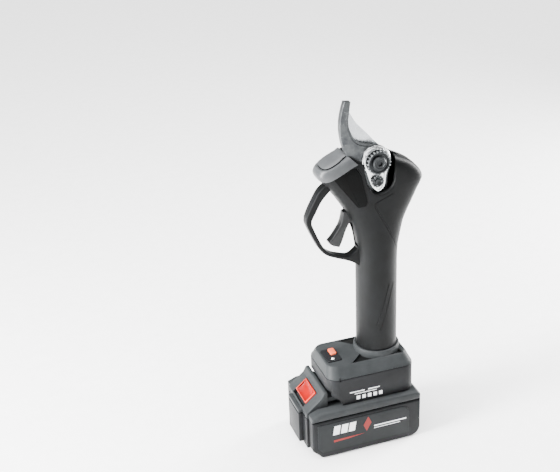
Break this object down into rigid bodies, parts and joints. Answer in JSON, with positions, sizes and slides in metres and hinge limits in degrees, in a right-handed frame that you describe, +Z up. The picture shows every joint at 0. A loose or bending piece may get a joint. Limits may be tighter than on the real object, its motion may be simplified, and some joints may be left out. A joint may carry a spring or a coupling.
{
  "type": "battery electric pruner",
  "caption": "Pistol-grip cordless bypass pruner with hooked counter-blade, geared swinging blade, trigger guard loop and slide-on battery foot.",
  "frame": {"origin": "on the grip's axis, at the flat bottom of the battery pack", "axes": "+Z up along the grip to the blades, -X to the front, where the trigger and the battery nose are, Y across the tool"},
  "size_m": [0.1256, 0.0746, 0.3341],
  "materials": {
    "charcoal_plastic": "fine-textured moulded nylon",
    "black_plastic": "smooth moulded plastic",
    "gloss_black": "high gloss inlay",
    "grey_plastic": "satin moulded plastic",
    "red_plastic": "satin red plastic",
    "forged_steel": "dark forged steel",
    "bright_steel": "ground steel",
    "black_oxide_steel": "black oxide",
    "copper": "copper and bronze",
    "circuit_board": "solder mask",
    "cell_wrap": "shrink wrap",
    "white_lens": "clear white lens"
  },
  "bodies": {
    "handle": {"housing_left": "charcoal_plastic", "housing_right": "charcoal_plastic", "trigger_guard": "charcoal_plastic", "foot_shell": "charcoal_plastic", "shoulder_cap": "grey_plastic", "side_window_left": "gloss_black", "side_window_right": "gloss_black", "switch_panel": "black_plastic", "terminal_block": "black_plastic", "fixed_blade": "forged_steel", "head_frame": "forged_steel", "head_plate": "bright_steel", "pivot_bolt": "bright_steel", "lock_screw": "bright_steel", "blade_screw_1": "bright_steel", "blade_screw_2": "bright_steel", "motor_can": "bright_steel", "ring_gear": "bright_steel", "gearbox_cover": "bright_steel", "output_bearing": "bright_steel", "trigger_pin": "bright_steel", "foot_rail_left": "bright_steel", "foot_rail_right": "bright_steel", "heat_sink": "bright_steel", "serrated_nut": "black_oxide_steel", "lock_gear": "black_oxide_steel", "housing_screw_1": "black_oxide_steel", "housing_screw_2": "black_oxide_steel", "housing_screw_3": "black_oxide_steel", "housing_screw_4": "black_oxide_steel", "housing_screw_5": "black_oxide_steel", "stator": "copper", "hall_board": "circuit_board", "controller_board": "circuit_board", "status_light": "white_lens"},
    "blade": {"moving_blade": "bright_steel", "pivot_bush": "copper", "bevel_sector": "black_oxide_steel", "sector_rivet_1": "bright_steel", "sector_rivet_2": "bright_steel"},
    "output": {"output_shaft": "bright_steel", "bevel_pinion": "bright_steel"},
    "planet_1": {"planet_gear_1": "bright_steel"},
    "planet_2": {"planet_gear_2": "bright_steel"},
    "planet_3": {"planet_gear_3": "bright_steel"},
    "rotor": {"motor_shaft": "bright_steel", "rotor": "black_oxide_steel"},
    "trigger": {"trigger": "black_plastic", "trigger_magnet": "bright_steel"},
    "power_button": {"power_button": "red_plastic"},
    "battery": {"battery_case": "charcoal_plastic", "battery_lid": "charcoal_plastic", "label_panel_left": "charcoal_plastic", "label_panel_right": "charcoal_plastic", "cell_row_lower": "cell_wrap", "cell_row_upper": "cell_wrap", "pack_board": "circuit_board", "case_screw_1": "black_oxide_steel", "case_screw_2": "black_oxide_steel"},
    "release_button": {"release_button": "red_plastic"}
  },
  "joints": [
    {"name": "blade_swing", "type": "hinge", "parent": "handle", "child": "blade", "pos_m": [-0.004, 0, 0.2775], "axis": [0, 1, 0], "range_deg": [0, 55]},
    {"name": "output_spin", "type": "hinge", "parent": "handle", "child": "output", "pos_m": [-0.004, 0.0045, 0.24], "axis": [0, 0, 1], "range_deg": [-250, 5]},
    {"name": "rotor_spin", "type": "hinge", "parent": "handle", "child": "rotor", "pos_m": [-0.004, 0.0045, 0.19], "axis": [0, 0, 1], "range_deg": [-989.9, 0]},
    {"name": "planet_spin_1", "type": "hinge", "parent": "output", "child": "planet_1", "pos_m": [0.002, 0.0045, 0.2225], "axis": [0, 0, 1], "range_deg": [-15, 750]},
    {"name": "planet_spin_2", "type": "hinge", "parent": "output", "child": "planet_2", "pos_m": [-0.007, 0.0097, 0.2225], "axis": [0, 0, 1], "range_deg": [-15, 750]},
    {"name": "planet_spin_3", "type": "hinge", "parent": "output", "child": "planet_3", "pos_m": [-0.007, -0.0007, 0.2225], "axis": [0, 0, 1], "range_deg": [-15, 750]},
    {"name": "trigger_pull", "type": "hinge", "parent": "handle", "child": "trigger", "pos_m": [-0.022, 0, 0.227], "axis": [0, -1, 0], "range_deg": [0, 15], "stiffness_Nm_per_rad": 0.25, "springref_deg": -14.32},
    {"name": "battery_slide", "type": "slide", "parent": "handle", "child": "battery", "axis": [-1, 0, 0], "range_m": [0, 0.115]},
    {"name": "latch_press", "type": "slide", "parent": "battery", "child": "release_button", "axis": [-0.7682, 0, -0.6402], "range_m": [0, 0.0035], "stiffness_N_per_m": 900, "springref_m": -0.003},
    {"name": "power_press", "type": "slide", "parent": "handle", "child": "power_button", "axis": [0, 0, -1], "range_m": [0, 0.0008], "stiffness_N_per_m": 1500, "springref_m": -0.001}
  ],
  "couplings": [
    {"joint": "output_spin", "follows": "rotor_spin", "ratio": 0.25},
    {"joint": "blade_swing", "follows": "rotor_spin", "ratio": -0.055556},
    {"joint": "planet_spin_1", "follows": "rotor_spin", "ratio": -0.75},
    {"joint": "planet_spin_2", "follows": "rotor_spin", "ratio": -0.75},
    {"joint": "planet_spin_3", "follows": "rotor_spin", "ratio": -0.75}
  ]
}
